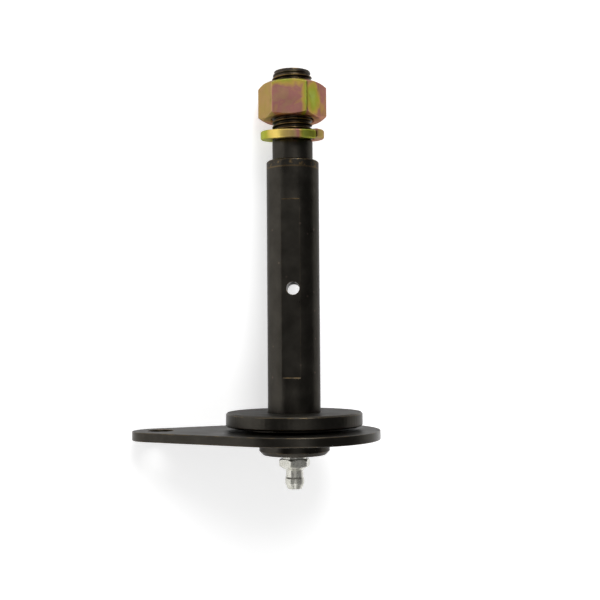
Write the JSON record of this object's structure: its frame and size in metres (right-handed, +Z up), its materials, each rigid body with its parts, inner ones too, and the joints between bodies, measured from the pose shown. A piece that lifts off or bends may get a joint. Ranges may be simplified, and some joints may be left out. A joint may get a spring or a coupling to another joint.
{
  "type": "leaf spring bolt",
  "caption": "Greaseable leaf spring pin with head, collar, eared locking plate, split spring washer, hexagon nut and grease nipple.",
  "frame": {"origin": "centre of the part's footprint on the surface that it lies on", "axes": "+Y along the bolt towards the nut, leaning 8.5 degrees down; +Z up off the surface; the locking plate's ear points to -X"},
  "size_m": [0.0802, 0.1426, 0.0582],
  "materials": {
    "pin": "blackened steel, satin",
    "locking_plate": "blackened steel sheet, satin",
    "collar": "blackened steel, satin",
    "spring_washer": "yellow passivated zinc",
    "nut": "yellow passivated zinc",
    "grease_nipple": "bright zinc",
    "nipple_ball": "polished steel",
    "nipple_spring": "drawn steel wire"
  },
  "bodies": {
    "root": {"pin": "pin", "locking_plate": "locking_plate", "collar": "collar", "spring_washer": "spring_washer", "nut": "nut", "grease_nipple": "grease_nipple", "nipple_ball": "nipple_ball", "nipple_spring": "nipple_spring"}
  },
  "joints": []
}
